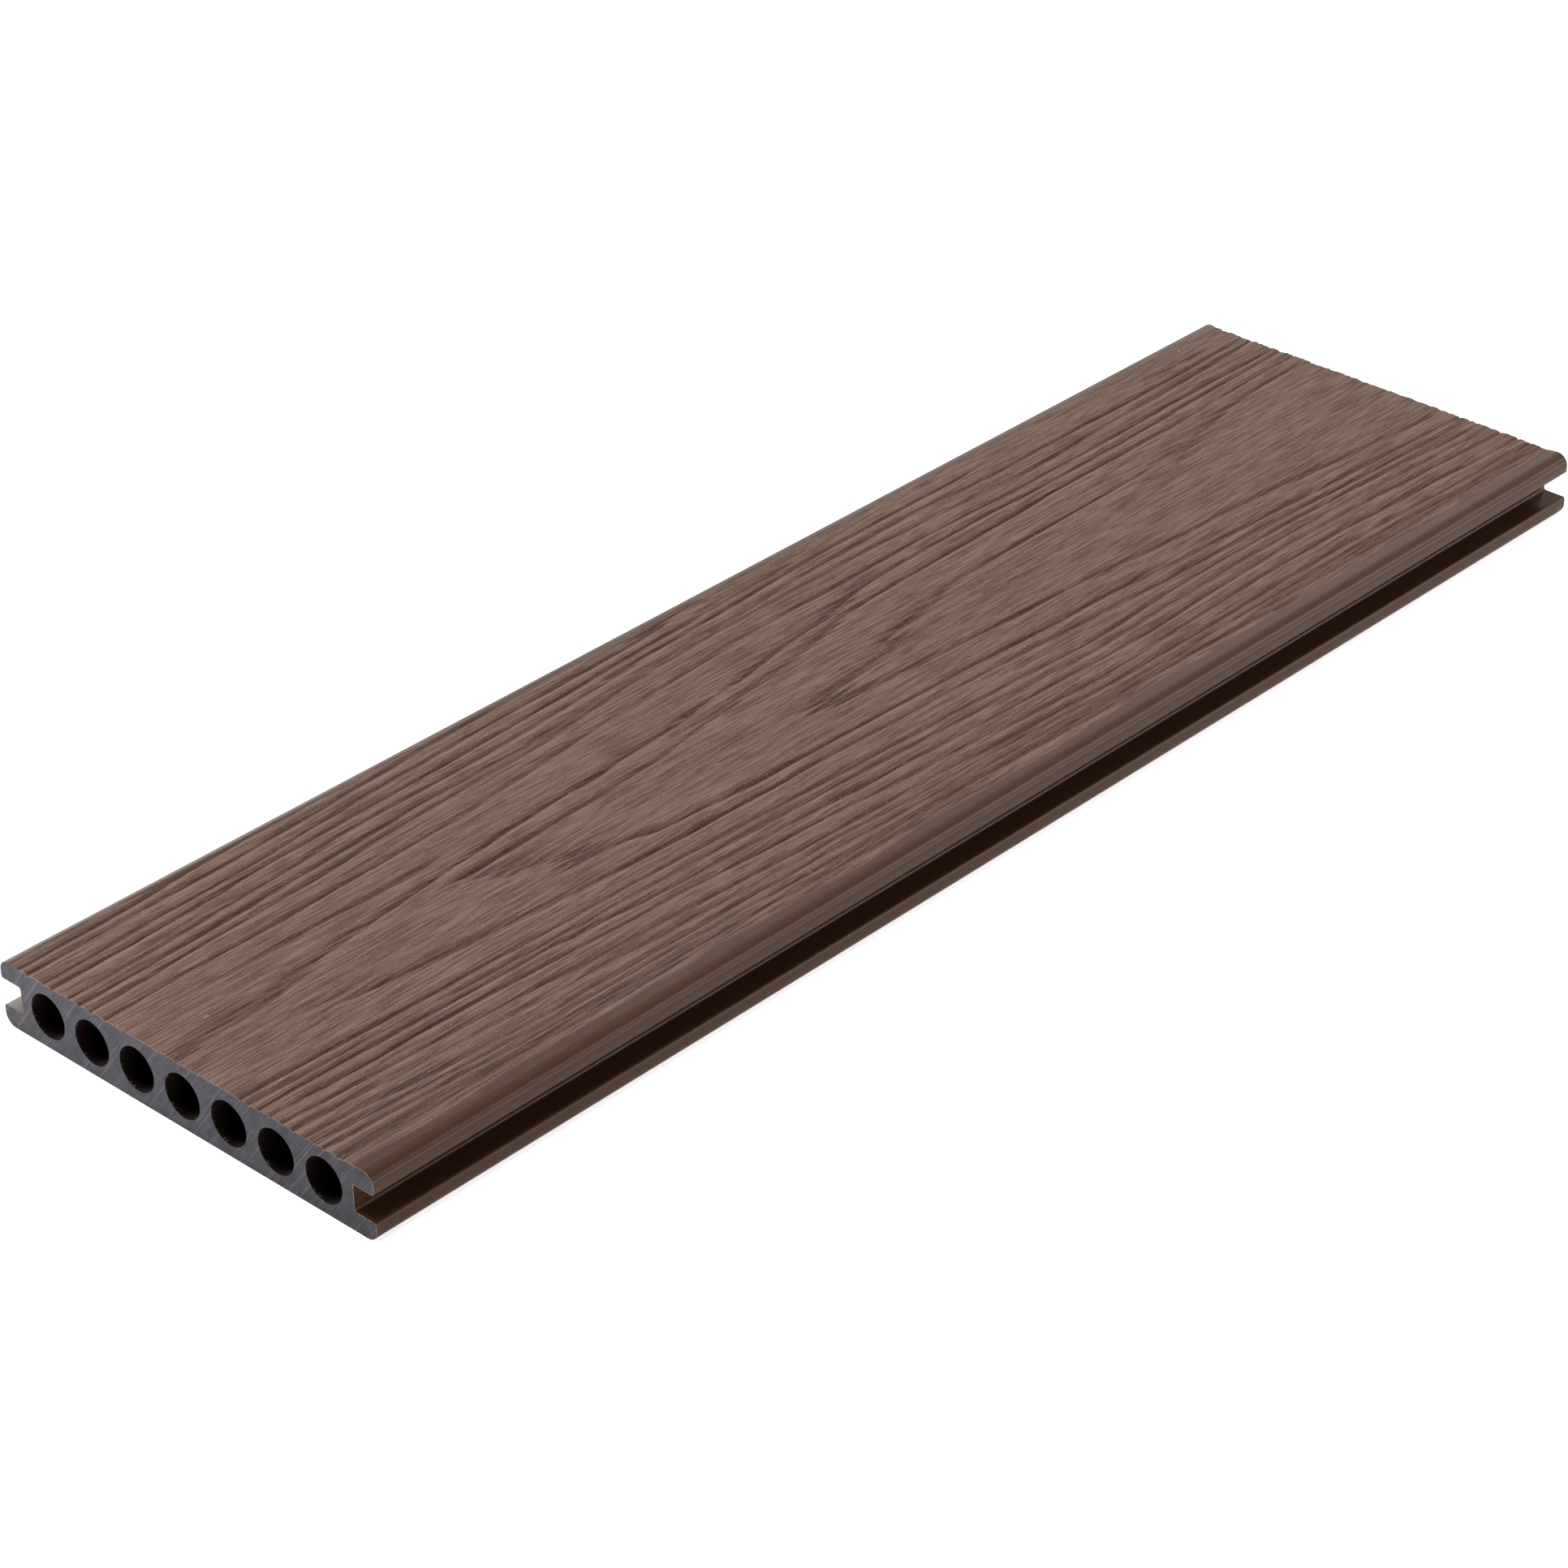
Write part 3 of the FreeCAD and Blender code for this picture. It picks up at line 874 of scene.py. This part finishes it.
class StudioSettings(PropertyGroup):
    """The floor, the lights and the camera."""

    floor_colour: colour_setting("Floor", "Plain pale floor", (0.92, 0.92, 0.92))
    floor_size: length_setting("Floor size", "Side of the square floor", 8.0)
    floor_glow: plain_setting("Floor glow", "Light given off by the floor round the board", 0.2)
    floor_white: plain_setting("Floor white", "Brightness of the near floor in the picture alone", 0.78)
    over_power: power_setting("Overhead light", "Large light straight above", 24.3)
    high_power: power_setting("High light", "Large light above on the left", 16.0)
    left_power: power_setting("Left light", "Low light along the left side", 7.0)
    far_power: power_setting("Far light", "Low light beyond the far left", 5.0)
    back_power: power_setting("Back light", "High light beyond the far end", 3.8)
    corner_power: power_setting("Corner light", "Light beyond the far left corner", 2.6)
    right_power: power_setting("Right light", "Faint light on the far right", 5.0)
    low_power: power_setting("Low light", "Strip near the floor on the right", 5.4)
    end_power: power_setting("End light", "Small low light beside the near end", 1.9)
    aim: FloatVectorProperty(name="Aim", description="Point in the middle of the picture",
                             subtype="TRANSLATION", unit="LENGTH", default=(-0.03816, -0.01078, 0.01))
    distance: length_setting("Distance", "Camera to the aim", 1.25357)
    heading: angle_setting("Heading", "Way the camera looks, from +Y towards +X", 46.082)
    elevation: angle_setting("Elevation", "Camera above the horizon", 31.583)
    roll: angle_setting("Roll", "Turn of the camera about its own line of sight", -1.355)
    lens: plain_setting("Lens", "Focal length in millimetres on a 36 mm sensor", 106.09)


class DECKING_OT_board(Operator):
    """Builds the board as one closed mesh: its section carried along, with grain pressed into the top"""

    bl_idname = "decking.board"
    bl_label = "Board"

    def execute(self, context):
        scene = context.scene
        sizes, relief, colours = scene.decking_sizes, scene.decking_relief, scene.decking_colours
        rng = np.random.default_rng(relief.seed)
        outline = section_outline(sizes, relief.columns)
        even = np.linspace(-sizes.length / 2, sizes.length / 2, relief.stations - 1)
        chip_ends = (even[0] + relief.chip_reach, even[-1] - relief.chip_reach)
        stations = np.insert(even, (1, len(even) - 1), chip_ends)
        grid, values = board_grid(sizes, relief, outline, stations, rng)

        vertices = Vertices((*GRAIN_VALUES, "rim"))
        rows = vertices.add(grid, **values)
        skin = np.concatenate([strip(rows[i], rows[i + 1]) for i in range(relief.stations)])
        into = inward(outline)
        near_faces, near_rows = sawn_end(vertices, grid[0], rows[0], into, -1, relief, rng)
        far_faces, far_rows = sawn_end(vertices, grid[-1], rows[-1], into, 1, relief, rng)
        walls = chamber_walls(vertices, stations, near_rows, far_rows)
        faces = [(skin, CAP, True), *near_faces, *far_faces, *walls]
        for end, inwards in ((stations[0], 1), (stations[-1], -1)):
            burrs, burr_faces = rim_burrs(rng, end, inwards, relief.burr_size)
            numbers = vertices.add(burrs)
            faces.append((numbers[:, burr_faces].reshape(-1, 3), BURR, False))

        materials = [cap_material(colours), core_material(colours), chamber_material(colours),
                     burr_material(colours)]
        board = put("embossed_board", build_mesh("embossed_board", vertices, faces, materials))
        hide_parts(CAD_NODE)
        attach(board, "root")
        return {"FINISHED"}


def floor_material(studio):
    """The pale floor: it glows round the board, and the picture shows it white, less so up close."""
    material, shader, place = start_material("pale_floor")
    reach = place.node("ShaderNodeVectorMath", {"operation": "LENGTH"}, {0: place}, output="Value")
    round_board = reach.step(*GLOW_REACH).mix((0, 0, 0, 1), rgba(studio.floor_colour))
    glow = round_board.tinted(rgba([studio.floor_glow] * 3))
    backdrop = reach.step(*WHITE_REACH).mix(rgba([studio.floor_white] * 3), (1, 1, 1, 1))
    seen = place.node("ShaderNodeLightPath", {}, {}, output="Is Camera Ray")
    shown = seen.mix(glow, backdrop)
    material.node_tree.links.new(shown.output, shader.inputs["Emission Color"])
    shader.inputs["Base Color"].default_value = rgba(studio.floor_colour)
    shader.inputs["Roughness"].default_value = 0.9
    shader.inputs["Specular IOR Level"].default_value = 0.1
    shader.inputs["Emission Strength"].default_value = 1.0
    return material


def soft_light(name, place, aim, size, power):
    """A white rectangular area light at a place, turned to its aim."""
    lamp = bpy.data.lights.new(name, "AREA")
    lamp.shape = "RECTANGLE"
    lamp.size, lamp.size_y = size
    lamp.energy = power
    light = put(name, lamp)
    light.location = place
    light.rotation_euler = (Vector(aim) - Vector(place)).to_track_quat("-Z", "Y").to_euler()


class DECKING_OT_studio(Operator):
    """Sets the floor, the soft lights and the camera"""

    bl_idname = "decking.studio"
    bl_label = "Studio"

    def execute(self, context):
        scene = context.scene
        studio = scene.decking_studio
        half = studio.floor_size / 2
        corners = [(-half, -half, 0), (half, -half, 0), (half, half, 0), (-half, half, 0)]
        mesh = bpy.data.meshes.new("floor")
        mesh.from_pydata(corners, [], [(0, 1, 2, 3)])
        mesh.materials.append(floor_material(studio))
        put("floor", mesh)

        for name, place, aim, size in LIGHTS:
            soft_light(f"{name}_light", place, aim, size, getattr(studio, f"{name}_power"))
        world = bpy.data.worlds.new("studio_world")
        world.use_nodes = True
        background = world.node_tree.nodes["Background"]
        background.inputs["Color"].default_value = (1.0, 1.0, 1.0, 1.0)
        path = world.node_tree.nodes.new("ShaderNodeLightPath")
        world.node_tree.links.new(path.outputs["Is Camera Ray"], background.inputs["Strength"])
        scene.world = world
        scene.view_settings.view_transform = "Standard"

        level = math.cos(studio.elevation)
        back = Vector((-math.sin(studio.heading) * level, -math.cos(studio.heading) * level,
                       math.sin(studio.elevation)))
        camera = put("camera", bpy.data.cameras.new("camera"))
        camera.data.lens = studio.lens
        camera.data.sensor_width = 36.0
        turn = (-back).to_track_quat("-Z", "Y").to_matrix() @ Matrix.Rotation(studio.roll, 3, "Z")
        camera.matrix_world = Matrix.LocRotScale(Vector(studio.aim) + back * studio.distance, turn, None)
        scene.camera = camera
        return {"FINISHED"}


class DECKING_PT_panel(Panel):
    """The board's sizes, finishes and studio"""

    bl_idname = "DECKING_PT_panel"
    bl_label = "Decking board"
    bl_space_type = "VIEW_3D"
    bl_region_type = "UI"
    bl_category = "Decking"

    def draw(self, context):
        for operator in OPERATORS:
            self.layout.operator(operator.bl_idname)
        for name, group in SETTINGS.items():
            box = self.layout.box()
            for key in group.__annotations__:
                box.prop(getattr(context.scene, name), key)


SETTINGS = {
    "decking_sizes": BoardSizes,
    "decking_relief": GrainRelief,
    "decking_colours": BoardColours,
    "decking_studio": StudioSettings,
}
OPERATORS = (DECKING_OT_board, DECKING_OT_studio)
CLASSES = (*SETTINGS.values(), *OPERATORS, DECKING_PT_panel)


def register():
    for cls in CLASSES:
        bpy.utils.register_class(cls)
    for name, group in SETTINGS.items():
        setattr(bpy.types.Scene, name, PointerProperty(type=group))


def unregister():
    for name in SETTINGS:
        delattr(bpy.types.Scene, name)
    for cls in reversed(CLASSES):
        bpy.utils.unregister_class(cls)


def main():
    register()
    bpy.ops.decking.board()
    bpy.ops.decking.studio()


if __name__ == "__main__":
    main()
